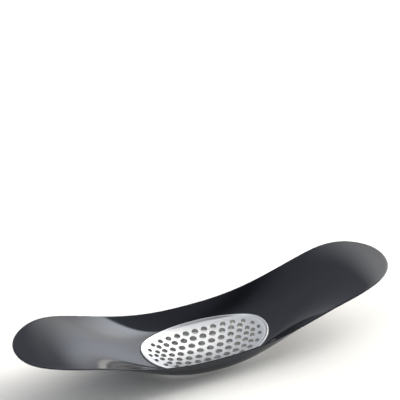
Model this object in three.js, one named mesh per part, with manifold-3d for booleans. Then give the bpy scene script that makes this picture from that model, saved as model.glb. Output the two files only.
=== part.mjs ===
import * as THREE from 'three';
import { mergeVertices } from 'three/addons/utils/BufferGeometryUtils.js';
import Module from 'manifold-3d';

// Rocking garlic crusher in millimetres: a boat-shaped tray whose two ends are the handles, with a perforated
// metal plate let into its floor. +X runs along the length, +Y across, +Z up. The origin is under the middle
// of the plate, on the small flat it rests on.

// ---- overall size ----
const HALF_LENGTH = 92.5;
const HALF_WIDTH = 23.1; // inner edge of the rim
const TIP_HEIGHT = 28.38; // inside face of the handles at their tips
const WAIST_HEIGHT = 12.08; // rim at mid length
const FLOOR_HEIGHT = 1.58; // tray floor at mid length

// ---- tray shape ----
const END_LENGTH = 29.2; // length over which each end rounds off
const END_POWER = 2.09; // 2 would be a plain ellipse
const RIM_SPAN = 83.3; // the rim climbs as a half wave over this distance, then runs level
const RIM_POWER = 1.22;
const FLOOR_SPAN = 86;
const FLOOR_POWER = 1.12;
const BED_HALF_WIDTH = 17.3; // nearly flat part of the floor at mid length
const BED_SPAN = 75; // distance over which the flat part narrows to nothing
const BED_BOW = 0.0083; // crosswise curve of the bed, mm per mm squared
const BOW_SPAN = 70;
const BED_SHARE = 0.9; // the bed never takes more than this share of the width

// ---- tray wall ----
const WALL_MIDDLE = 2.8;
const WALL_HANDLE = 1.4;
const WALL_SPAN = 80; // distance over which the wall thins from middle to handle
const WALL_RIM = 0.7; // thickness at the rim's edge
const THIN_POWER = 4; // a higher power keeps the wall thick closer to the rim
const RIM_ROUND = 0.2; // how far the rounded edge stands out

// ---- crushing plate ----
const PLATE_HALF_LENGTH = 31.1;
const PLATE_HALF_WIDTH = 19;
const PLATE_POWER = 2.2;
const PLATE_PROUD = 0.3; // above the tray floor
const PLATE_THICKNESS = 2;
const FLANGE_THICKNESS = 1;
const FLANGE_WIDTH = 1.2; // ledge the plate sits on, all round
const TOP_CHAMFER = { inner: 0.98, drop: 0.25 };
const BELLY_CHAMFER = { inner: 0.98, drop: 0.25 };
const FIT_GAP = 0.3;

// ---- perforation ----
const HOLE_RADIUS = 1.68; // at the top face, in the middle of the plate
const HOLE_DRAFT = 1.05; // size at the belly over size at the top
const HOLE_SIDES = 8;
const HOLE_OVERRUN = 1;
const HOLE_FADE = 31.5; // holes narrow towards the plate's ends and would vanish this far out
const HOLE_TALL = 0.4; // power that keeps the narrowed holes taller than they are wide
// One row per line, from the middle outwards. A tighter bend crowds a row's holes towards its ends.
const HOLE_ROWS = [
  { offset: 0, count: 14, pitch: 5.07, bend: 31.5, size: 1 },
  { offset: 4.7, count: 11, pitch: 5.07, bend: 31.5, size: 1 },
  { offset: 9.25, count: 10, pitch: 4.9, bend: 34, size: 1 },
  { offset: 13.3, count: 11, pitch: 4.6, bend: 200, size: 0.93 },
];
const ROW_ARCH = { halfLength: 27.5, power: 2.4 }; // the rows draw together along this outline
const CORNER_HOLE = { x: 26, y: 4.4, size: 1 };

// ---- mesh density ----
const STATIONS = 44; // along the tray
const CROSS_STEPS = 18; // across the tray
const PLATE_SEGMENTS = 40;
const PLATE_RINGS = [0.3, 0.6, 0.85];
const SLOPE_STEP = 0.05;

const manifold = await Module();
manifold.setup();

// ---- shape of the tray ----

// Rises from 0 to 1 as a half cosine wave over the span, and stays there.
function halfWave(distance, span, power = 1) {
  const share = Math.min(1, Math.abs(distance) / span) ** power;
  return (1 - Math.cos(Math.PI * share)) / 2;
}

// How far into a rounded end x lies: 0 where the rounding starts, 1 at the tip.
function endShare(x) {
  return Math.max(0, (Math.abs(x) - HALF_LENGTH + END_LENGTH) / END_LENGTH);
}

function halfWidthAt(x) {
  return HALF_WIDTH * Math.max(0, 1 - endShare(x) ** END_POWER) ** (1 / END_POWER);
}

// 0 on the middle line, 1 all round the rim.
function edgeShare(x, y) {
  return Math.min(1, endShare(x) ** END_POWER + (Math.abs(y) / HALF_WIDTH) ** END_POWER) ** (1 / END_POWER);
}

function rimHeight(x) {
  return WAIST_HEIGHT + (TIP_HEIGHT - WAIST_HEIGHT) * halfWave(x, RIM_SPAN, RIM_POWER);
}

// The gently bowed surface the plate follows.
function bedHeight(x, y) {
  const floor = FLOOR_HEIGHT + (TIP_HEIGHT - FLOOR_HEIGHT) * halfWave(x, FLOOR_SPAN, FLOOR_POWER);
  return floor + BED_BOW * (1 - halfWave(x, BOW_SPAN)) * y * y;
}

// The inside face of the tray: the bed, turning up into the side walls.
function trayHeight(x, y) {
  const half = halfWidthAt(x);
  const bed = Math.min(BED_HALF_WIDTH * (1 - halfWave(x, BED_SPAN)), BED_SHARE * half);
  if (Math.abs(y) <= bed) return bedHeight(x, y);
  const share = Math.min(1, (Math.abs(y) - bed) / (half - bed));
  return bedHeight(x, y) + (rimHeight(x) - bedHeight(x, half)) * share * share;
}

// Slopes are taken towards the middle, where the tray always goes on.
function trayNormal(x, y) {
  const stepX = x < 0 ? SLOPE_STEP : -SLOPE_STEP;
  const stepY = y < 0 ? SLOPE_STEP : -SLOPE_STEP;
  const height = trayHeight(x, y);
  const slopeX = (trayHeight(x + stepX, y) - height) / stepX;
  const slopeY = (trayHeight(x, y + stepY) - height) / stepY;
  return new THREE.Vector3(-slopeX, -slopeY, 1).normalize();
}

function wallThickness(x, y) {
  const full = WALL_MIDDLE + (WALL_HANDLE - WALL_MIDDLE) * halfWave(x, WALL_SPAN);
  return WALL_RIM + (full - WALL_RIM) * (1 - edgeShare(x, y) ** THIN_POWER);
}

// Outward direction of the rim at a point on the outline, along the wall.
function rimOutward(x, y, normal) {
  const gradeX = (Math.sign(x) * endShare(x) ** (END_POWER - 1)) / END_LENGTH;
  const gradeY = (Math.sign(y) * (Math.abs(y) / HALF_WIDTH) ** (END_POWER - 1)) / HALF_WIDTH;
  return new THREE.Vector3(gradeX, gradeY, 0).projectOnPlane(normal).normalize();
}

// ---- geometry helpers ----

function quad(a, b, c, d) {
  return [[a, b, c], [a, c, d]];
}

function meshGeometry(points, triangles) {
  const geometry = new THREE.BufferGeometry();
  const numbers = points.flatMap((point) => point.toArray());
  geometry.setAttribute('position', new THREE.Float32BufferAttribute(numbers, 3));
  geometry.setIndex(triangles.flat());
  return geometry;
}

// Joins coincident points and drops the triangles that this closes up.
function toSolid(geometry) {
  const bare = geometry.clone();
  bare.deleteAttribute('normal');
  bare.deleteAttribute('uv');
  const merged = mergeVertices(bare, 1e-4);
  const index = [...merged.index.array];
  const kept = [];
  for (let i = 0; i < index.length; i += 3) {
    const corners = index.slice(i, i + 3);
    if (new Set(corners).size === 3) kept.push(...corners);
  }
  return new manifold.Manifold(new manifold.Mesh({
    numProp: 3,
    vertProperties: new Float32Array(merged.attributes.position.array),
    triVerts: new Uint32Array(kept),
  }));
}

function toGeometry(solid) {
  const mesh = solid.getMesh();
  const geometry = new THREE.BufferGeometry();
  geometry.setAttribute('position', new THREE.Float32BufferAttribute(mesh.vertProperties, 3));
  geometry.setIndex(new THREE.Uint32BufferAttribute(mesh.triVerts, 1));
  geometry.computeVertexNormals();
  return geometry;
}

function superellipse(angle, halfLength, halfWidth, power) {
  const x = Math.cos(angle);
  const y = Math.sin(angle);
  const radius = (Math.abs(x / halfLength) ** power + Math.abs(y / halfWidth) ** power) ** (-1 / power);
  return { x: radius * x, y: radius * y };
}

// ---- tray ----

// One cross-section as a closed loop: along the inside, round one edge, back outside, round the other.
function trayLoop(x) {
  const half = halfWidthAt(x);
  const inner = [];
  const outer = [];
  for (let j = 0; j <= CROSS_STEPS; j += 1) {
    const y = half * Math.sin(Math.PI * (j / CROSS_STEPS - 0.5));
    const point = new THREE.Vector3(x, y, trayHeight(x, y));
    inner.push(point);
    outer.push(point.clone().addScaledVector(trayNormal(x, y), -wallThickness(x, y)));
  }
  const edge = (j) => {
    const middle = inner[j].clone().lerp(outer[j], 0.5);
    return middle.addScaledVector(rimOutward(x, inner[j].y, trayNormal(x, inner[j].y)), RIM_ROUND);
  };
  const [start, end] = [edge(0), edge(CROSS_STEPS)];
  return [...inner, end, ...outer.reverse(), start];
}

function trayShell() {
  const points = [];
  const triangles = [];
  for (let i = 0; i <= STATIONS; i += 1) {
    points.push(...trayLoop(HALF_LENGTH * Math.sin(Math.PI * (i / STATIONS - 0.5))));
  }
  const size = points.length / (STATIONS + 1);
  for (let i = 0; i < STATIONS; i += 1) {
    for (let j = 0; j < size; j += 1) {
      const next = (j + 1) % size;
      const row = i * size;
      triangles.push(...quad(row + j, row + size + j, row + size + next, row + next));
    }
  }
  return toSolid(meshGeometry(points, triangles));
}

// ---- plate ----

// The plate's top carries on the tray's inside face, and its belly follows the bed.
function plateTop(x, y) {
  return trayHeight(x, y) + PLATE_PROUD;
}

function plateBelly(x, y) {
  return bedHeight(x, y) + PLATE_PROUD - PLATE_THICKNESS;
}

// A slab with the plate's outline, grown by a margin. Its heights are given for (x, y, share of the way out).
function plateSlab(margin, rings, top, bottom) {
  const points = [];
  const addPair = (x, y, share) => {
    points.push(new THREE.Vector3(x, y, top(x, y, share)), new THREE.Vector3(x, y, bottom(x, y, share)));
  };
  addPair(0, 0, 0);
  for (const share of rings) {
    for (let k = 0; k < PLATE_SEGMENTS; k += 1) {
      const angle = (2 * Math.PI * k) / PLATE_SEGMENTS;
      const edge = superellipse(angle, PLATE_HALF_LENGTH + margin, PLATE_HALF_WIDTH + margin, PLATE_POWER);
      addPair(edge.x * share, edge.y * share, share);
    }
  }
  return toSolid(meshGeometry(points, slabTriangles(rings.length)));
}

// Top points have even numbers and the bottom point under each comes next; the first pair is the centre.
function slabTriangles(ringCount) {
  const triangles = [];
  const at = (ring, k) => 2 + 2 * (ring * PLATE_SEGMENTS + (k % PLATE_SEGMENTS));
  for (let k = 0; k < PLATE_SEGMENTS; k += 1) {
    triangles.push([0, at(0, k), at(0, k + 1)], [1, at(0, k + 1) + 1, at(0, k) + 1]);
    for (let ring = 1; ring < ringCount; ring += 1) {
      const [a, b, c, d] = [at(ring - 1, k), at(ring, k), at(ring, k + 1), at(ring - 1, k + 1)];
      triangles.push(...quad(a, b, c, d), ...quad(a + 1, d + 1, c + 1, b + 1));
    }
    const [near, far] = [at(ringCount - 1, k), at(ringCount - 1, k + 1)];
    triangles.push(...quad(near, near + 1, far + 1, far));
  }
  return triangles;
}

// Holes of one row on one side of the middle line.
function holeRow({ offset, count, pitch, bend, size }, side) {
  return Array.from({ length: count }, (_, k) => {
    const x = bend * Math.sin(((k - (count - 1) / 2) * pitch) / bend);
    const arch = (1 - Math.abs(x / ROW_ARCH.halfLength) ** ROW_ARCH.power) ** (1 / ROW_ARCH.power);
    return { x, y: side * offset * arch, size };
  });
}

function holes() {
  const [middle, ...others] = HOLE_ROWS;
  const corners = [[1, 1], [-1, 1], [1, -1], [-1, -1]].map(([sideX, sideY]) => (
    { x: sideX * CORNER_HOLE.x, y: sideY * CORNER_HOLE.y, size: CORNER_HOLE.size }
  ));
  const pairs = others.flatMap((row) => [...holeRow(row, 1), ...holeRow(row, -1)]);
  return [...holeRow(middle, 1), ...pairs, ...corners];
}

// A hole that widens a little towards the belly, with some length to spare at both ends.
function holeCutter({ x, y, size }) {
  const width = Math.sqrt(1 - (x / HOLE_FADE) ** 2);
  const belly = HOLE_RADIUS * HOLE_DRAFT;
  const length = PLATE_THICKNESS + 2 * HOLE_OVERRUN;
  const cutter = new THREE.CylinderGeometry(HOLE_RADIUS, belly, length, HOLE_SIDES);
  cutter.rotateX(Math.PI / 2);
  cutter.scale(size * width, size * width ** HOLE_TALL, 1);
  cutter.translate(x, y, plateBelly(x, y) + PLATE_THICKNESS / 2);
  return toSolid(cutter);
}

function crushingPlate() {
  const flange = plateSlab(
    0,
    [...PLATE_RINGS, TOP_CHAMFER.inner, 1],
    (x, y, share) => plateTop(x, y) - (share === 1 ? TOP_CHAMFER.drop : 0),
    (x, y) => plateTop(x, y) - FLANGE_THICKNESS,
  );
  const boss = plateSlab(
    -FLANGE_WIDTH,
    [...PLATE_RINGS, BELLY_CHAMFER.inner, 1],
    (x, y) => plateTop(x, y) - FLANGE_THICKNESS / 2,
    (x, y, share) => plateBelly(x, y) + (share === 1 ? BELLY_CHAMFER.drop : 0),
  );
  const ground = new THREE.BoxGeometry(2 * HALF_LENGTH, 2 * HALF_LENGTH, TIP_HEIGHT);
  ground.translate(0, 0, -TIP_HEIGHT / 2);
  const cutters = manifold.Manifold.union(holes().map(holeCutter));
  return flange.add(boss).subtract(toSolid(ground)).subtract(cutters);
}

// Room for the plate: a rebate for its flange and an opening for the part below.
function plateSeat() {
  const above = () => TIP_HEIGHT;
  const below = () => -FLOOR_HEIGHT;
  const ledge = (x, y) => plateTop(x, y) - FLANGE_THICKNESS - FIT_GAP;
  const rebate = plateSlab(FIT_GAP, [...PLATE_RINGS, 1], above, ledge);
  return rebate.add(plateSlab(FIT_GAP - FLANGE_WIDTH, [...PLATE_RINGS, 1], above, below));
}

// ---- assembly ----

function named(name, solid, material) {
  const mesh = new THREE.Mesh(toGeometry(solid), new THREE.MeshStandardMaterial(material));
  mesh.name = name;
  return mesh;
}

const tray = trayShell().subtract(plateSeat());
const group = new THREE.Group();
group.add(named('tray_body', tray, { color: 0x2c2c30, roughness: 0.2, metalness: 0 }));
group.add(named('crushing_plate', crushingPlate(), { color: 0xc6cad1, roughness: 0.3, metalness: 1 }));

export default group;
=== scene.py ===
import math

import bpy
import numpy as np
from mathutils import Matrix, Vector
from mathutils.geometry import delaunay_2d_cdt


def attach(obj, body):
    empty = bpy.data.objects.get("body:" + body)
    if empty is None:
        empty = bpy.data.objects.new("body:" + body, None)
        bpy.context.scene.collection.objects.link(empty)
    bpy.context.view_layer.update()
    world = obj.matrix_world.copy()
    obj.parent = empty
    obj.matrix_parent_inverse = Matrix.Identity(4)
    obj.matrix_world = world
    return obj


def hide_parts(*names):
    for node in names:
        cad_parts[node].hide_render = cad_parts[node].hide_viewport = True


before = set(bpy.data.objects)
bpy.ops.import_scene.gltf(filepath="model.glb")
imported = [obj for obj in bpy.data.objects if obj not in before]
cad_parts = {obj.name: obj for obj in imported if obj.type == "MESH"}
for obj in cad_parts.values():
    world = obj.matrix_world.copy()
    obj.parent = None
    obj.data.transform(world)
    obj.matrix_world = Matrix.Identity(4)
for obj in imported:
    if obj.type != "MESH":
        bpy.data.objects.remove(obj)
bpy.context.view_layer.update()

# Rocking garlic crusher: a moulded tray that is held at both ends, with a perforated plate in its floor.
# Shapes are worked out in millimetres and turned into metres when a mesh is made.
# +X runs along the length, +Y across, +Z up; the origin is under the middle of the plate.
MM = 0.001

# ---- tray shape, as in the CAD ----
# The half width and the rim's round are 0.005 mm smaller, so the smooth curves stay inside the CAD's facets.
HALF_LENGTH = 92.5
HALF_WIDTH = 23.095
TIP_HEIGHT = 28.38
WAIST_HEIGHT = 12.08
FLOOR_HEIGHT = 1.58
END_LENGTH = 29.2  # length of each rounded end
END_POWER = 2.09
RIM_SPAN = 83.3
RIM_POWER = 1.22
FLOOR_SPAN = 86
FLOOR_POWER = 1.12
BED_HALF_WIDTH = 17.3  # the gently bowed part of the tray's floor
BED_SPAN = 75
BED_BOW = 0.0083
BOW_SPAN = 70
BED_SHARE = 0.9
WALL_MIDDLE = 2.8
WALL_HANDLE = 1.4
WALL_SPAN = 80
WALL_RIM = 0.7
THIN_POWER = 4
RIM_ROUND = 0.195
SLOPE_STEP = 0.05  # step over which a slope is measured

# ---- plate shape, as in the CAD ----
PLATE_HALF_LENGTH = 31.1
PLATE_HALF_WIDTH = 19
PLATE_POWER = 2.2
PLATE_PROUD = 0.3
PLATE_THICKNESS = 2
FLANGE_THICKNESS = 1
FLANGE_WIDTH = 1.2
HOLE_RADIUS = 1.68
HOLE_DRAFT = 1.05  # how much wider a hole is at the belly
HOLE_FADE = 31.5  # the holes narrow as a circle of this radius does
HOLE_TALL = 0.4  # how much of that narrowing shows across the plate
HOLE_ROWS = (
    {"offset": 0, "count": 14, "pitch": 5.07, "bend": 31.5, "size": 1},
    {"offset": 4.7, "count": 11, "pitch": 5.07, "bend": 31.5, "size": 1},
    {"offset": 9.25, "count": 10, "pitch": 4.9, "bend": 34, "size": 1},
    {"offset": 13.3, "count": 11, "pitch": 4.6, "bend": 200, "size": 0.93},
)
ARCH_HALF_LENGTH = 27.5
ARCH_POWER = 2.4
CORNER_X = 26
CORNER_Y = 4.4

# ---- finer than the CAD: tray ----
SEAM = 0.1  # hairline between plate and tray
SEAT_ROUND = 0.12  # small round where a face turns into the seat or the opening
AROUND = 480  # points round the tray
TOP_RINGS = 72
OUTER_RINGS = 56
RIM_STEPS = 8
ROLL_WIDTH = 1.4  # the inside face rolls over along the rim
ROLL_DROP = 0.12
EASING = 0.6  # how strongly rings crowd towards both ends of a face
SEAT_STEPS = (0.06, 0.5, 0.94)  # where the rings of the seat lie along each of its faces
SEAT_TOP_STEPS = (0.06, 0.5, 0.9)

# ---- finer than the CAD: plate ----
LIP_RISE = 0.32  # the face turns up a little towards its edge
LIP_START = 0.86
# The plate's edge from the face outwards: how far in, and how far the surface lies below the face.
EDGE_PROFILE = (
    (2.6, 0), (2.2, 0.02), (1.85, 0.08), (1.55, 0.16), (1.3, 0.22), (1.08, 0.23), (0.88, 0.16), (0.7, 0.06),
    (0.54, 0), (0.42, -0.02), (0.3, 0), (0.18, 0.05), (0.08, 0.13), (0.02, 0.22), (0, 0.32), (0, 0.7),
)
LEDGE_STEPS = (0, 0.08, FLANGE_WIDTH / 2, FLANGE_WIDTH - 0.08)  # how far in, under the flange
SIDE_STEPS = (0, 0.08, 0.5, 0.8)  # shares of the way down the plate's side
# The round from the plate's side to its belly: how far in from the side, and how far above the belly.
BELLY_PROFILE = ((0.03, 0.28), (0.12, 0.14), (0.3, 0.04))
BELLY_INSET = 0.5
PLATE_AROUND = 288
HOLE_AROUND = 28
HOLE_ROUND = 0.08  # round on the lip of each hole
BELLY_ROUND = 0.08
BELLY_BREAK = 0.3  # where the ring of the belly's round lies, as a share of the round
ROUND_STEPS = 4
WALL_STEPS = (0.25, 0.5, 0.75, 1)
FILL_PITCH = 1.1  # distance between the points that fill a face
FILL_ROW = FILL_PITCH * math.sqrt(0.75)  # distance between their rows
FILL_TO_BORDER = 0.6
FILL_TO_HOLE = 0.4

# ---- floor sheet, in metres ----
SHEET_HALF = 3.0
SHEET_STEPS = 12

# ---- looks: a pair holds the two ends between which a value varies over the surface ----
# Grains are counted per metre, reliefs are heights in metres.
PLASTIC_COLOURS = ((0.0036, 0.0036, 0.0052, 1), (0.0056, 0.0057, 0.0078, 1))
PLASTIC_TINT = (0.75, 0.82, 0.97, 1)
PLASTIC_IOR = 1.555
PLASTIC_ROUGHNESS = (0.075, 0.125)
PLASTIC_HAZE = 38.0
PLASTIC_GRAIN = 900.0
PLASTIC_RELIEF = 0.000003
METAL_COLOURS = ((0.70, 0.72, 0.745, 1), (0.77, 0.79, 0.815, 1))
SKIN_COLOURS = ((0.54, 0.545, 0.55, 1), (0.65, 0.655, 0.66, 1))  # where the casting is left unpolished
METAL_TINT = (0.1, 0.1, 0.12, 1)  # darker where seen along the surface
METAL_ROUGHNESS = (0.31, 0.39)
SKIN_ROUGHNESS = 0.12  # what the unpolished skin adds
METAL_CLOUD = 160.0
METAL_GRAIN = 2600.0
METAL_RELIEF = 0.000006
FLOOR_COLOURS = ((0.94, 0.94, 0.925, 1), (0.96, 0.96, 0.945, 1))
FLOOR_ROUGHNESS = 0.9
FLOOR_TOOTH = 700.0
FLOOR_RELIEF = 0.00001
NOISE_SPREAD = (0.3, 0.7)  # the part of a noise's range that drives a roughness
HAIRLINE_EDGES = (0.78, 0.8)  # the noise levels between which a hairline comes up


# ================= shape of the tray =================

def half_wave(distance, span, power=1):
    share = np.minimum(1, np.abs(distance) / span) ** power
    return (1 - np.cos(np.pi * share)) / 2


def end_share(x):
    """0 along the straight sides and 1 at the tips."""
    return np.maximum(0, (np.abs(x) - HALF_LENGTH + END_LENGTH) / END_LENGTH)


def half_width_at(x):
    return HALF_WIDTH * np.maximum(0, 1 - end_share(x) ** END_POWER) ** (1 / END_POWER)


def edge_share(x, y):
    """1 at the rim, less inside it."""
    total = end_share(x) ** END_POWER + (np.abs(y) / HALF_WIDTH) ** END_POWER
    return np.minimum(1, total) ** (1 / END_POWER)


def rim_height(x):
    return WAIST_HEIGHT + (TIP_HEIGHT - WAIST_HEIGHT) * half_wave(x, RIM_SPAN, RIM_POWER)


def bed_height(x, y):
    floor = FLOOR_HEIGHT + (TIP_HEIGHT - FLOOR_HEIGHT) * half_wave(x, FLOOR_SPAN, FLOOR_POWER)
    return floor + BED_BOW * (1 - half_wave(x, BOW_SPAN)) * y * y


def tray_height(x, y):
    """Height of the inside face: the bed, and the walls that turn up from it to the rim."""
    half = half_width_at(x)
    bed = np.minimum(BED_HALF_WIDTH * (1 - half_wave(x, BED_SPAN)), BED_SHARE * half)
    share = np.clip((np.abs(y) - bed) / np.maximum(half - bed, 1e-6), 0, 1)
    return bed_height(x, y) + (rim_height(x) - bed_height(x, half)) * share ** 2


def unit(vectors):
    return vectors / np.maximum(np.linalg.norm(vectors, axis=-1, keepdims=True), 1e-12)


def surface_normal(height, x, y):
    """Upward normal of a height function, with slopes taken towards the middle."""
    step_x = np.where(x < 0, SLOPE_STEP, -SLOPE_STEP)
    step_y = np.where(y < 0, SLOPE_STEP, -SLOPE_STEP)
    level = height(x, y)
    slope_x = (height(x + step_x, y) - level) / step_x
    slope_y = (height(x, y + step_y) - level) / step_y
    return unit(np.stack([-slope_x, -slope_y, np.ones_like(level)], axis=-1))


def wall_thickness(x, y):
    full = WALL_MIDDLE + (WALL_HANDLE - WALL_MIDDLE) * half_wave(x, WALL_SPAN)
    return WALL_RIM + (full - WALL_RIM) * (1 - edge_share(x, y) ** THIN_POWER)


def on_surface(height, x, y):
    return np.stack([x, y, height(x, y)], axis=-1)


def rim_outward(x, y, normal):
    """Directions out of the rim, along the surface."""
    grade_x = np.sign(x) * end_share(x) ** (END_POWER - 1) / END_LENGTH
    grade_y = np.sign(y) * (np.abs(y) / HALF_WIDTH) ** (END_POWER - 1) / HALF_WIDTH
    grade = np.stack([grade_x, grade_y, np.zeros_like(grade_x)], axis=-1)
    return unit(grade - normal * np.sum(grade * normal, axis=-1, keepdims=True))


# ================= outlines =================

def spread_evenly(outline, count):
    """Points at equal steps along a closed outline given finely, starting at its first point."""
    closed = np.vstack([outline, outline[:1]])
    length = np.concatenate([[0], np.cumsum(np.linalg.norm(np.diff(closed, axis=0), axis=1))])
    wanted = np.arange(count) / count * length[-1]
    return np.stack([np.interp(wanted, length, closed[:, k]) for k in (0, 1)], axis=-1)


def tray_outline(count):
    """The rim in plan: two straight sides joined by rounded ends."""
    turn = np.linspace(0, math.pi / 2, 4000)
    along = HALF_LENGTH - END_LENGTH + END_LENGTH * np.cos(turn) ** (2 / END_POWER)
    across = HALF_WIDTH * np.sin(turn) ** (2 / END_POWER)
    quarter = np.stack([along, across], axis=-1)
    back = quarter[::-1]
    fine = np.vstack([quarter, back * (-1, 1), quarter * (-1, -1), back * (1, -1)])
    return spread_evenly(fine, count)


def plate_outline(inset, count):
    """The plate's outline, moved in by a distance."""
    turn = np.linspace(0, 2 * math.pi, 16000, endpoint=False)
    along, across = PLATE_HALF_LENGTH - inset, PLATE_HALF_WIDTH - inset
    total = np.abs(np.cos(turn) / along) ** PLATE_POWER + np.abs(np.sin(turn) / across) ** PLATE_POWER
    radius = total ** (-1 / PLATE_POWER)
    return spread_evenly(np.stack([radius * np.cos(turn), radius * np.sin(turn)], axis=-1), count)


# ================= mesh helper =================

class Shape:
    """Collects points and faces of one closed body, with some normals given."""

    def __init__(self):
        self.points = []
        self.normals = {}
        self.faces = []
        self.skin = []

    def add(self, points, normals=None, skin=0.0):
        """Adds points and returns their numbers. Skin is 1 where the casting is left unpolished."""
        start = len(self.points)
        self.points.extend(np.asarray(points).tolist())
        self.skin.extend([skin] * len(points))
        if normals is not None:
            self.normals.update({start + k: n for k, n in enumerate(np.asarray(normals).tolist())})
        return np.arange(start, len(self.points))

    def bridge(self, first, second):
        """Quads between two closed loops of the same count."""
        for k in range(len(first)):
            j = (k + 1) % len(first)
            self.faces.append((first[k], first[j], second[j], second[k]))

    def build(self, name, material):
        points = [[c * MM for c in point] for point in self.points]
        faces = [[int(k) for k in face] for face in self.faces]
        mesh = bpy.data.meshes.new(name)
        mesh.from_pydata(points, [], faces)
        mesh.polygons.foreach_set("use_smooth", [True] * len(mesh.polygons))
        mesh.update()
        normals = [tuple(v.vector) for v in mesh.vertex_normals]
        for k, normal in self.normals.items():
            normals[k] = tuple(normal)
        mesh.normals_split_custom_set_from_vertices(normals)
        mesh.attributes.new("cast_skin", "FLOAT", "POINT").data.foreach_set("value", self.skin)
        mesh.materials.append(material)
        piece = bpy.data.objects.new(name, mesh)
        bpy.context.scene.collection.objects.link(piece)
        return piece


# ================= tray =================

def eased(count):
    """Shares from 0 to 1 that crowd towards both ends."""
    t = np.linspace(0, 1, count)
    return (1 - EASING) * t + EASING * (1 - np.cos(np.pi * t)) / 2


def outer_face(plan):
    """The underside point that belongs to a plan point of the inside face."""
    x, y = plan[..., 0], plan[..., 1]
    depth = wall_thickness(x, y)[..., None]
    return on_surface(tray_height, x, y) - surface_normal(tray_height, x, y) * depth


def plan_under(target):
    """Plan points of the inside face whose underside lies at the target in plan."""
    plan = target.copy()
    for _ in range(8):
        plan = plan + target - outer_face(plan)[..., :2]
    return plan


def inside_loops(seat, rim):
    """The inside face, from the plate out to the rim."""
    loops = []
    for share in eased(TOP_RINGS):
        plan = seat + (rim - seat) * share
        if share == 0:
            plan = plate_outline(-SEAM - SEAT_ROUND, AROUND)
        loop = on_surface(tray_height, plan[:, 0], plan[:, 1])
        near_rim = 1 - np.linalg.norm(rim - plan, axis=1) / ROLL_WIDTH
        loop[:, 2] -= ROLL_DROP * np.maximum(0, near_rim) ** 2
        loops.append(loop)
    return loops


def rim_loops(upper, rim):
    """The round edge of the rim, from the inside face's last loop to the underside."""
    x, y = rim[:, 0], rim[:, 1]
    outward = rim_outward(x, y, surface_normal(tray_height, x, y))
    middle = (upper + outer_face(rim)) / 2
    turns = [math.pi * k / RIM_STEPS for k in range(1, RIM_STEPS)]
    return [middle + (upper - middle) * math.cos(t) + outward * RIM_ROUND * math.sin(t) for t in turns]


def underside_loops(rim):
    """The underside, from the rim in to the opening."""
    under = plan_under(plate_outline(FLANGE_WIDTH - SEAM - SEAT_ROUND, AROUND))
    return [outer_face(under + (rim - under) * share) for share in eased(OUTER_RINGS)[::-1]]


def seat_loops(bottom, seat):
    """The seat: up the opening, along the ledge, up to the inside face."""
    opening = plate_outline(FLANGE_WIDTH - SEAM, AROUND)
    ledge_drop = PLATE_PROUD - FLANGE_THICKNESS - SEAM
    ledge = tray_height(opening[:, 0], opening[:, 1]) + ledge_drop
    loops = []
    for share in SEAT_STEPS:
        loops.append(np.column_stack([opening, bottom + (ledge - bottom) * share]))
    for share in SEAT_STEPS:
        plan = opening + (seat - opening) * share
        loops.append(np.column_stack([plan, tray_height(plan[:, 0], plan[:, 1]) + ledge_drop]))
    top = tray_height(seat[:, 0], seat[:, 1])
    for share in SEAT_TOP_STEPS:
        loops.append(np.column_stack([seat, top + ledge_drop * (1 - share)]))
    return loops


def make_tray(material):
    shape = Shape()
    rim = tray_outline(AROUND)
    seat = plate_outline(-SEAM, AROUND)
    loops = inside_loops(seat, rim)
    loops += rim_loops(loops[-1], rim)
    loops += underside_loops(rim)
    loops += seat_loops(loops[-1][:, 2], seat)
    rows = [shape.add(loop) for loop in loops]
    for k, row in enumerate(rows):
        shape.bridge(row, rows[(k + 1) % len(rows)])
    return shape.build("tray_shell", material)


# ================= plate =================

def plate_share(x, y):
    """0 at the middle of the plate and 1 at its edge."""
    total = (np.abs(x) / PLATE_HALF_LENGTH) ** PLATE_POWER + (np.abs(y) / PLATE_HALF_WIDTH) ** PLATE_POWER
    return total ** (1 / PLATE_POWER)


def plate_top(x, y):
    lip = LIP_RISE * np.clip((plate_share(x, y) - LIP_START) / (1 - LIP_START), 0, 1) ** 2
    return tray_height(x, y) + PLATE_PROUD + lip


def plate_belly(x, y):
    return np.maximum(0, bed_height(x, y) + PLATE_PROUD - PLATE_THICKNESS)


def hole_row(row, side):
    """Middles and sizes of one row's holes. Side is 1 for the far rows and -1 for the near ones."""
    turns = (np.arange(row["count"]) - (row["count"] - 1) / 2) * row["pitch"] / row["bend"]
    x = row["bend"] * np.sin(turns)
    arch = (1 - np.abs(x / ARCH_HALF_LENGTH) ** ARCH_POWER) ** (1 / ARCH_POWER)
    return [(a, side * row["offset"] * b, row["size"]) for a, b in zip(x, arch)]


def hole_places():
    """Middle and half sizes of every hole at the top face."""
    places = hole_row(HOLE_ROWS[0], 1)
    for row in HOLE_ROWS[1:]:
        places += hole_row(row, 1) + hole_row(row, -1)
    places += [(i * CORNER_X, j * CORNER_Y, 1) for i in (1, -1) for j in (1, -1)]
    holes = []
    for x, y, size in places:
        width = math.sqrt(1 - (x / HOLE_FADE) ** 2)
        holes.append((x, y, HOLE_RADIUS * size * width, HOLE_RADIUS * size * width ** HOLE_TALL))
    return holes


def hole_loop(hole, grow, scale=1):
    x, y, wide, tall = hole
    turn = np.arange(HOLE_AROUND) * 2 * math.pi / HOLE_AROUND
    return np.stack([
        x + (wide * scale + grow) * np.cos(turn),
        y + (tall * scale + grow) * np.sin(turn),
    ], axis=-1)


def in_hole(point, holes, grow, scale, margin=0.0):
    for x, y, wide, tall in holes:
        a, b = wide * scale + grow + margin, tall * scale + grow + margin
        if ((point[0] - x) / a) ** 2 + ((point[1] - y) / b) ** 2 < 1:
            return True
    return False


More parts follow.
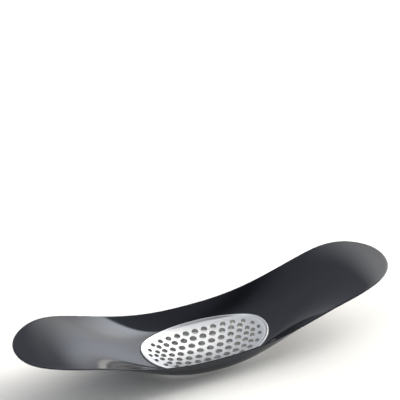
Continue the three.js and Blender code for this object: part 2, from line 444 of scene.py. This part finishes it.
def fill_points(border, holes, grow, scale):
    """Evenly spread points inside the border that keep clear of it and of the holes."""
    reach_x = border[:, 0].max() - FILL_TO_BORDER
    reach_y = border[:, 1].max() - FILL_TO_BORDER
    span_x = int(PLATE_HALF_LENGTH / FILL_PITCH) + 1
    span_y = int(PLATE_HALF_WIDTH / FILL_ROW) + 1
    points = []
    for i in range(-span_x, span_x + 1):
        for j in range(-span_y, span_y + 1):
            point = ((i + 0.5 * (j % 2)) * FILL_PITCH, j * FILL_ROW)
            inside = abs(point[0] / reach_x) ** PLATE_POWER + abs(point[1] / reach_y) ** PLATE_POWER < 1
            if inside and not in_hole(point, holes, grow, scale, FILL_TO_HOLE):
                points.append(point)
    return np.array(points)


def perforated_face(shape, height, border, holes, grow, scale, upward):
    """A face with holes inside a border loop. Returns the numbers of the border and of every hole's loop."""
    loops = [border] + [hole_loop(hole, grow, scale) for hole in holes]
    starts = np.cumsum([0] + [len(loop) for loop in loops])
    edges = []
    for start, loop in zip(starts, loops):
        count = len(loop)
        edges += [(int(start) + k, int(start) + (k + 1) % count) for k in range(count)]
    flat = np.vstack(loops + [fill_points(border, holes, grow, scale)])
    outline = list(range(len(border)))
    _, _, faces, origins, _, _ = delaunay_2d_cdt([Vector(p) for p in flat], edges, [outline], 1, 1e-7)
    x, y = flat[:, 0], flat[:, 1]
    normals = surface_normal(height, x, y) * (1 if upward else -1)
    numbers = shape.add(on_surface(height, x, y), normals, 0.0 if upward else 1.0)
    back = [origin[0] for origin in origins]
    for face in faces:
        corners = [back[k] for k in face]
        if in_hole(flat[corners].mean(axis=0), holes, grow, scale):
            continue
        area = np.cross(flat[corners[1]] - flat[corners[0]], flat[corners[2]] - flat[corners[0]])
        if (area > 0) != upward:
            corners.reverse()
        shape.faces.append(tuple(numbers[k] for k in corners))
    result = [numbers[start:start + len(loop)] for start, loop in zip(starts, loops)]
    return result[0], result[1:]


def plate_edge_loops():
    """Round the plate's edge: groove and bead, underside of the flange, side, round into the belly."""
    loops = []
    for inset, drop in EDGE_PROFILE[1:]:
        plan = plate_outline(inset, PLATE_AROUND)
        loops.append(np.column_stack([plan, plate_top(plan[:, 0], plan[:, 1]) - drop]))
    for inset in LEDGE_STEPS:
        plan = plate_outline(inset, PLATE_AROUND)
        loops.append(np.column_stack([plan, plate_top(plan[:, 0], plan[:, 1]) - FLANGE_THICKNESS]))
    side = plate_outline(FLANGE_WIDTH, PLATE_AROUND)
    high = plate_top(side[:, 0], side[:, 1]) - FLANGE_THICKNESS
    low = plate_belly(side[:, 0], side[:, 1])
    for share in SIDE_STEPS:
        loops.append(np.column_stack([side, high + (low - high) * share]))
    for inset, rise in BELLY_PROFILE:
        plan = plate_outline(FLANGE_WIDTH + inset, PLATE_AROUND)
        loops.append(np.column_stack([plan, plate_belly(plan[:, 0], plan[:, 1]) + rise]))
    return loops


def hole_wall(hole):
    """Loops down a hole: round its lip, down its tapered side, round its lower edge."""
    loops = []
    for k in range(1, ROUND_STEPS + 1):
        turn = math.pi / 2 * k / ROUND_STEPS
        plan = hole_loop(hole, HOLE_ROUND * (1 - math.sin(turn)))
        z = plate_top(plan[:, 0], plan[:, 1]) - HOLE_ROUND * (1 - math.cos(turn))
        loops.append(np.column_stack([plan, z]))
    upper = loops[-1]
    plan = hole_loop(hole, 0, HOLE_DRAFT)
    lower = np.column_stack([plan, plate_belly(plan[:, 0], plan[:, 1]) + BELLY_ROUND])
    for share in WALL_STEPS:
        loops.append(upper + (lower - upper) * share)
    plan = hole_loop(hole, BELLY_ROUND * BELLY_BREAK, HOLE_DRAFT)
    loops.append(np.column_stack([plan, plate_belly(plan[:, 0], plan[:, 1]) + BELLY_ROUND * BELLY_BREAK]))
    return loops


def make_plate(material):
    shape = Shape()
    holes = hole_places()
    top = plate_outline(EDGE_PROFILE[0][0], PLATE_AROUND)
    top_edge, top_holes = perforated_face(shape, plate_top, top, holes, HOLE_ROUND, 1, True)
    rows = [top_edge] + [shape.add(loop) for loop in plate_edge_loops()]
    low = plate_outline(FLANGE_WIDTH + BELLY_INSET, PLATE_AROUND)
    low_edge, low_holes = perforated_face(shape, plate_belly, low, holes, BELLY_ROUND, HOLE_DRAFT, False)
    rows.append(low_edge)
    for first, second in zip(rows, rows[1:]):
        shape.bridge(second, first)
    for hole, top_loop, low_loop in zip(holes, top_holes, low_holes):
        rows = [top_loop]
        for k, loop in enumerate(hole_wall(hole)):
            rows.append(shape.add(loop, skin=min(1.0, (k + 1) / ROUND_STEPS)))
        rows.append(low_loop)
        for first, second in zip(rows, rows[1:]):
            shape.bridge(first, second)
    return shape.build("plate_casting", material)


# ================= node helper =================

class Nodes:
    """Short hand for building a node tree."""

    def __init__(self, tree):
        self.tree = tree

    def node(self, kind, **settings):
        node = self.tree.nodes.new(kind)
        for key, value in settings.items():
            setattr(node, key, value)
        return node

    def feed(self, socket, value):
        """Links an output to the socket, or sets the socket's own value."""
        if isinstance(value, bpy.types.NodeSocket):
            self.tree.links.new(value, socket)
        else:
            socket.default_value = value

    def math(self, operation, *values):
        node = self.node("ShaderNodeMath", operation=operation)
        for socket, value in zip(node.inputs, values):
            self.feed(socket, value)
        return node.outputs[0]

    def vector(self, operation, *values):
        node = self.node("ShaderNodeVectorMath", operation=operation)
        for socket, value in zip(node.inputs, values):
            self.feed(socket, value)
        return node.outputs["Value" if operation == "DOT_PRODUCT" else "Vector"]

    def scaled(self, vector, strength):
        node = self.node("ShaderNodeVectorMath", operation="SCALE")
        self.feed(node.inputs[0], vector)
        self.feed(node.inputs["Scale"], strength)
        return node.outputs[0]

    def ramp(self, value, low, high, to_low=0.0, to_high=1.0):
        """Eased change from one value to another while the input goes from low to high."""
        node = self.node("ShaderNodeMapRange", interpolation_type="SMOOTHSTEP")
        for socket, number in zip(node.inputs, (value, low, high, to_low, to_high)):
            self.feed(socket, number)
        return node.outputs["Result"]

    def mix(self, factor, first, second):
        node = self.node("ShaderNodeMix", data_type="RGBA")
        self.feed(node.inputs["Factor"], factor)
        self.feed(node.inputs["A"], first)
        self.feed(node.inputs["B"], second)
        return node.outputs["Result"]

    def noise(self, place, scale, detail=2.0):
        """Soft noise around 0.5, its grain given in grains per metre."""
        node = self.node("ShaderNodeTexNoise")
        self.feed(node.inputs["Vector"], place)
        self.feed(node.inputs["Scale"], scale)
        self.feed(node.inputs["Detail"], detail)
        self.feed(node.inputs["Roughness"], 0.5)
        return node.outputs["Fac"]

    def scratches(self, place, turn, stretch, share):
        """Fine hairlines along one direction: 1 on a hairline, 0 elsewhere. A larger share gives more."""
        node = self.node("ShaderNodeMapping")
        self.feed(node.inputs["Vector"], place)
        self.feed(node.inputs["Rotation"], (0, 0, math.radians(turn)))
        self.feed(node.inputs["Scale"], stretch)
        lines = self.noise(node.outputs[0], 1.0, 1.0)
        return self.ramp(lines, HAIRLINE_EDGES[0] - share, HAIRLINE_EDGES[1] - share)

    def bump(self, shader, height, distance):
        node = self.node("ShaderNodeBump")
        self.feed(node.inputs["Distance"], distance)
        self.feed(node.inputs["Height"], height)
        self.feed(shader.inputs["Normal"], node.outputs[0])


# ================= materials =================

def new_material(name):
    material = bpy.data.materials.new(name)
    material.use_nodes = True
    n = Nodes(material.node_tree)
    return material, n, n.tree.nodes["Principled BSDF"]


def smoke_plastic():
    """Gloss moulded plastic, almost black, with handling haze and hairline scratches."""
    material, n, shader = new_material("smoke_plastic_look")
    place = n.node("ShaderNodeTexCoord").outputs["Object"]
    haze = n.noise(place, PLASTIC_HAZE, 3.0)
    grain = n.noise(place, PLASTIC_GRAIN)
    lines = n.math(
        "MAXIMUM",
        n.scratches(place, 14, (12, 900, 60), 0.0),
        n.scratches(place, -31, (16, 1100, 60), 0.01),
    )
    gloss = n.ramp(haze, *NOISE_SPREAD, *PLASTIC_ROUGHNESS)
    n.feed(shader.inputs["Base Color"], n.mix(haze, *PLASTIC_COLOURS))
    n.feed(shader.inputs["Roughness"], n.math("ADD", gloss, n.math("MULTIPLY", lines, 0.1)))
    n.feed(shader.inputs["IOR"], PLASTIC_IOR)
    n.feed(shader.inputs["Specular Tint"], PLASTIC_TINT)
    height = n.math("SUBTRACT", n.math("MULTIPLY", grain, 0.2), n.math("MULTIPLY", lines, 0.5))
    n.bump(shader, height, PLASTIC_RELIEF)
    return material


def cast_metal():
    """Satin polished casting: fine grain, cloudy polish, short polishing marks; darker inside the holes."""
    material, n, shader = new_material("cast_metal_look")
    place = n.node("ShaderNodeTexCoord").outputs["Object"]
    skin = n.node("ShaderNodeAttribute", attribute_name="cast_skin").outputs["Fac"]
    cloud = n.noise(place, METAL_CLOUD, 3.0)
    grain = n.noise(place, METAL_GRAIN)
    marks = n.scratches(place, 6, (60, 2400, 300), 0.08)
    polished = n.mix(cloud, *METAL_COLOURS)
    unpolished = n.mix(grain, *SKIN_COLOURS)
    satin = n.ramp(cloud, *NOISE_SPREAD, *METAL_ROUGHNESS)
    satin = n.math("SUBTRACT", satin, n.math("MULTIPLY", marks, 0.05))
    n.feed(shader.inputs["Base Color"], n.mix(skin, polished, unpolished))
    n.feed(shader.inputs["Roughness"], n.math("ADD", satin, n.math("MULTIPLY", skin, SKIN_ROUGHNESS)))
    n.feed(shader.inputs["Metallic"], 1.0)
    n.feed(shader.inputs["Specular Tint"], METAL_TINT)
    n.bump(shader, n.math("SUBTRACT", grain, n.math("MULTIPLY", marks, 0.4)), METAL_RELIEF)
    return material


def floor_sheet():
    """Matt white studio sheet with a barely visible tooth."""
    material, n, shader = new_material("floor_look")
    place = n.node("ShaderNodeTexCoord").outputs["Object"]
    tooth = n.noise(place, FLOOR_TOOTH)
    n.feed(shader.inputs["Base Color"], n.mix(tooth, *FLOOR_COLOURS))
    n.feed(shader.inputs["Roughness"], FLOOR_ROUGHNESS)
    n.bump(shader, tooth, FLOOR_RELIEF)
    return material


# ================= floor =================

def make_floor():
    count = SHEET_STEPS + 1
    places = [-SHEET_HALF + 2 * SHEET_HALF * k / SHEET_STEPS for k in range(count)]
    grid = [(x, y, 0) for x in places for y in places]
    faces = []
    for i in range(SHEET_STEPS):
        for j in range(SHEET_STEPS):
            first = i * count + j
            faces.append((first, first + count, first + count + 1, first + 1))
    mesh = bpy.data.meshes.new("floor")
    mesh.from_pydata(grid, [], faces)
    mesh.materials.append(floor_sheet())
    floor = bpy.data.objects.new("floor", mesh)
    bpy.context.scene.collection.objects.link(floor)


# ================= light =================

# Soft box close to the object: the way to its brightest place and how far off that is, how far its face and
# its glow reach from there, and the slanting line beyond which it is masked. In metres and degrees.
BOX_AZIMUTH = -20
BOX_ELEVATION = 48
BOX_DISTANCE = 0.372
BOX_SIDEWAYS = (-0.15, 0.93)
BOX_UPWARDS = (-0.4, 1.08)
BOX_FADE = (0.924, 1.077)
BOX_POWER = 0.935
BOX_MASK = 0.286
BOX_MASK_SLANT = 0.449
BOX_MASK_SOFT = 0.5
BOX_STRENGTH = 4.99
BOX_COLOUR = (1.06, 1.0, 0.91)

# The room: every glow has an azimuth, an elevation, the angle over which it fades out, and a strength.
WINDOW = (-15, 20.3, 50.3, 11.9)
WINDOW_POWER = 0.8
WINDOW_END = -7.5  # azimuth where the window ends
WINDOW_END_SOFT = 0.12
BACK_GLOW = (49.6, 11.1, 20.3, 1.44)
FRONT_GLOW = (-162, 42, 30, 1.9)
SIDE_GLOW = (16, 10, 26, 4.5)
ROOM_STRENGTH = 0.6
DARK_PLACE = (-123.8, 34.6)  # azimuth and elevation of the unlit part of the room
DARK_EDGES = (5, 68.3)  # how far from there it starts to get light, and where it is fully light
COOL = (0.975, 0.995, 1.04)
WARM = (1.03, 1.0, 0.93)
NEUTRAL = (1.01, 1.0, 0.97)


def direction(azimuth, elevation):
    a, e = math.radians(azimuth), math.radians(elevation)
    return (math.cos(a) * math.cos(e), math.sin(a) * math.cos(e), math.sin(e))


def make_soft_box():
    """A large soft light close to the object, with a fading edge."""
    light = bpy.data.lights.new("soft_box", "AREA")
    light.shape = "RECTANGLE"
    light.size = BOX_SIDEWAYS[1] - BOX_SIDEWAYS[0]
    light.size_y = BOX_UPWARDS[1] - BOX_UPWARDS[0]
    light.energy = math.pi * light.size * light.size_y * BOX_STRENGTH
    light.color = BOX_COLOUR
    light.use_nodes = True
    n = Nodes(light.node_tree)
    place = n.node("ShaderNodeNewGeometry").outputs["Parametric"]
    place = n.vector("MULTIPLY", place, (light.size, light.size_y, 0))
    place = n.vector("ADD", place, (BOX_SIDEWAYS[0], BOX_UPWARDS[0], 0))
    split = n.node("ShaderNodeSeparateXYZ")
    n.feed(split.inputs[0], place)
    sideways, upwards = split.outputs[:2]
    across = n.math("DIVIDE", sideways, BOX_FADE[0])
    along = n.math("DIVIDE", upwards, BOX_FADE[1])
    far = n.math("ADD", n.math("MULTIPLY", across, across), n.math("MULTIPLY", along, along))
    far = n.math("SQRT", far)
    glow = n.math("POWER", n.ramp(far, 0.0, 1.0, 1.0, 0.0), BOX_POWER)
    mask = n.math("SUBTRACT", sideways, n.math("MULTIPLY", upwards, BOX_MASK_SLANT))
    mask = n.ramp(mask, BOX_MASK - BOX_MASK_SOFT / 2, BOX_MASK + BOX_MASK_SOFT / 2)
    n.feed(n.tree.nodes["Emission"].inputs["Strength"], n.math("MULTIPLY", glow, mask))
    way = Vector(direction(BOX_AZIMUTH, BOX_ELEVATION))
    side = Vector(direction(BOX_AZIMUTH + 90, 0))
    up = way.cross(side)
    middle = way * BOX_DISTANCE + side * sum(BOX_SIDEWAYS) / 2 + up * sum(BOX_UPWARDS) / 2
    lamp = bpy.data.objects.new("soft_box", light)
    lamp.matrix_world = Matrix.Translation(middle) @ Matrix((side, up, way)).transposed().to_4x4()
    lamp.visible_camera = False
    bpy.context.scene.collection.objects.link(lamp)


def make_room():
    """The pale studio round the soft box."""
    world = bpy.data.worlds.new("studio")
    bpy.context.scene.world = world
    world.use_nodes = True
    n = Nodes(world.node_tree)
    way = n.node("ShaderNodeTexCoord").outputs["Generated"]

    def away_from(azimuth, elevation):
        return n.math("ARCCOSINE", n.vector("DOT_PRODUCT", way, direction(azimuth, elevation)))

    def glow(azimuth, elevation, reach, strength, power=1.0):
        share = n.ramp(away_from(azimuth, elevation), 0.0, math.radians(reach), 1.0, 0.0)
        return n.math("MULTIPLY", n.math("POWER", share, power), strength)

    dark, light = (math.radians(edge) for edge in DARK_EDGES)
    room = n.ramp(away_from(*DARK_PLACE), dark, light, 0.0, ROOM_STRENGTH)
    side = n.vector("DOT_PRODUCT", way, direction(WINDOW_END + 90, 0))
    window_end = n.ramp(side, -WINDOW_END_SOFT / 2, WINDOW_END_SOFT / 2)
    window = n.math("MULTIPLY", glow(*WINDOW, WINDOW_POWER), window_end)
    total = n.scaled(COOL, room)
    total = n.vector("ADD", total, n.scaled(WARM, window))
    for place, colour in ((BACK_GLOW, COOL), (FRONT_GLOW, NEUTRAL), (SIDE_GLOW, NEUTRAL)):
        total = n.vector("ADD", total, n.scaled(colour, glow(*place)))
    n.feed(n.tree.nodes["Background"].inputs["Color"], total)


# ================= camera =================

# Where it looks from, how far off it is, how it is turned, and how far it is moved along its own axes.
CAMERA_AZIMUTH = math.radians(-19.876)
CAMERA_ELEVATION = math.radians(33.086)
CAMERA_ROLL = math.radians(-3.101)
CAMERA_DISTANCE = 1451.635
CAMERA_RIGHT = -2.457
CAMERA_UP = 70.125
CAMERA_LENS = 277.3
CAMERA_SENSOR = 36


def make_camera():
    a, e = CAMERA_AZIMUTH, CAMERA_ELEVATION
    back = Vector((math.sin(a) * math.cos(e), -math.cos(a) * math.cos(e), math.sin(e)))
    level = Vector((math.cos(a), math.sin(a), 0))
    upright = back.cross(level)
    right = level * math.cos(CAMERA_ROLL) + upright * math.sin(CAMERA_ROLL)
    up = upright * math.cos(CAMERA_ROLL) - level * math.sin(CAMERA_ROLL)
    plate_middle = Vector((0, 0, FLOOR_HEIGHT + PLATE_PROUD))
    place = right * CAMERA_RIGHT + up * CAMERA_UP + back * CAMERA_DISTANCE + plate_middle
    camera = bpy.data.objects.new("camera", bpy.data.cameras.new("camera"))
    camera.data.lens = CAMERA_LENS
    camera.data.sensor_width = CAMERA_SENSOR
    turn = Matrix((right, up, back)).transposed().to_4x4()
    camera.matrix_world = Matrix.Translation(place * MM) @ turn
    bpy.context.scene.collection.objects.link(camera)
    bpy.context.scene.camera = camera


# ================= the scene =================

tray = make_tray(smoke_plastic())
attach(tray, "root")
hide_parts("tray_body")

plate = make_plate(cast_metal())
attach(plate, "root")
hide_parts("crushing_plate")

make_floor()
bpy.context.scene.view_settings.view_transform = "Standard"
make_soft_box()
make_room()
make_camera()
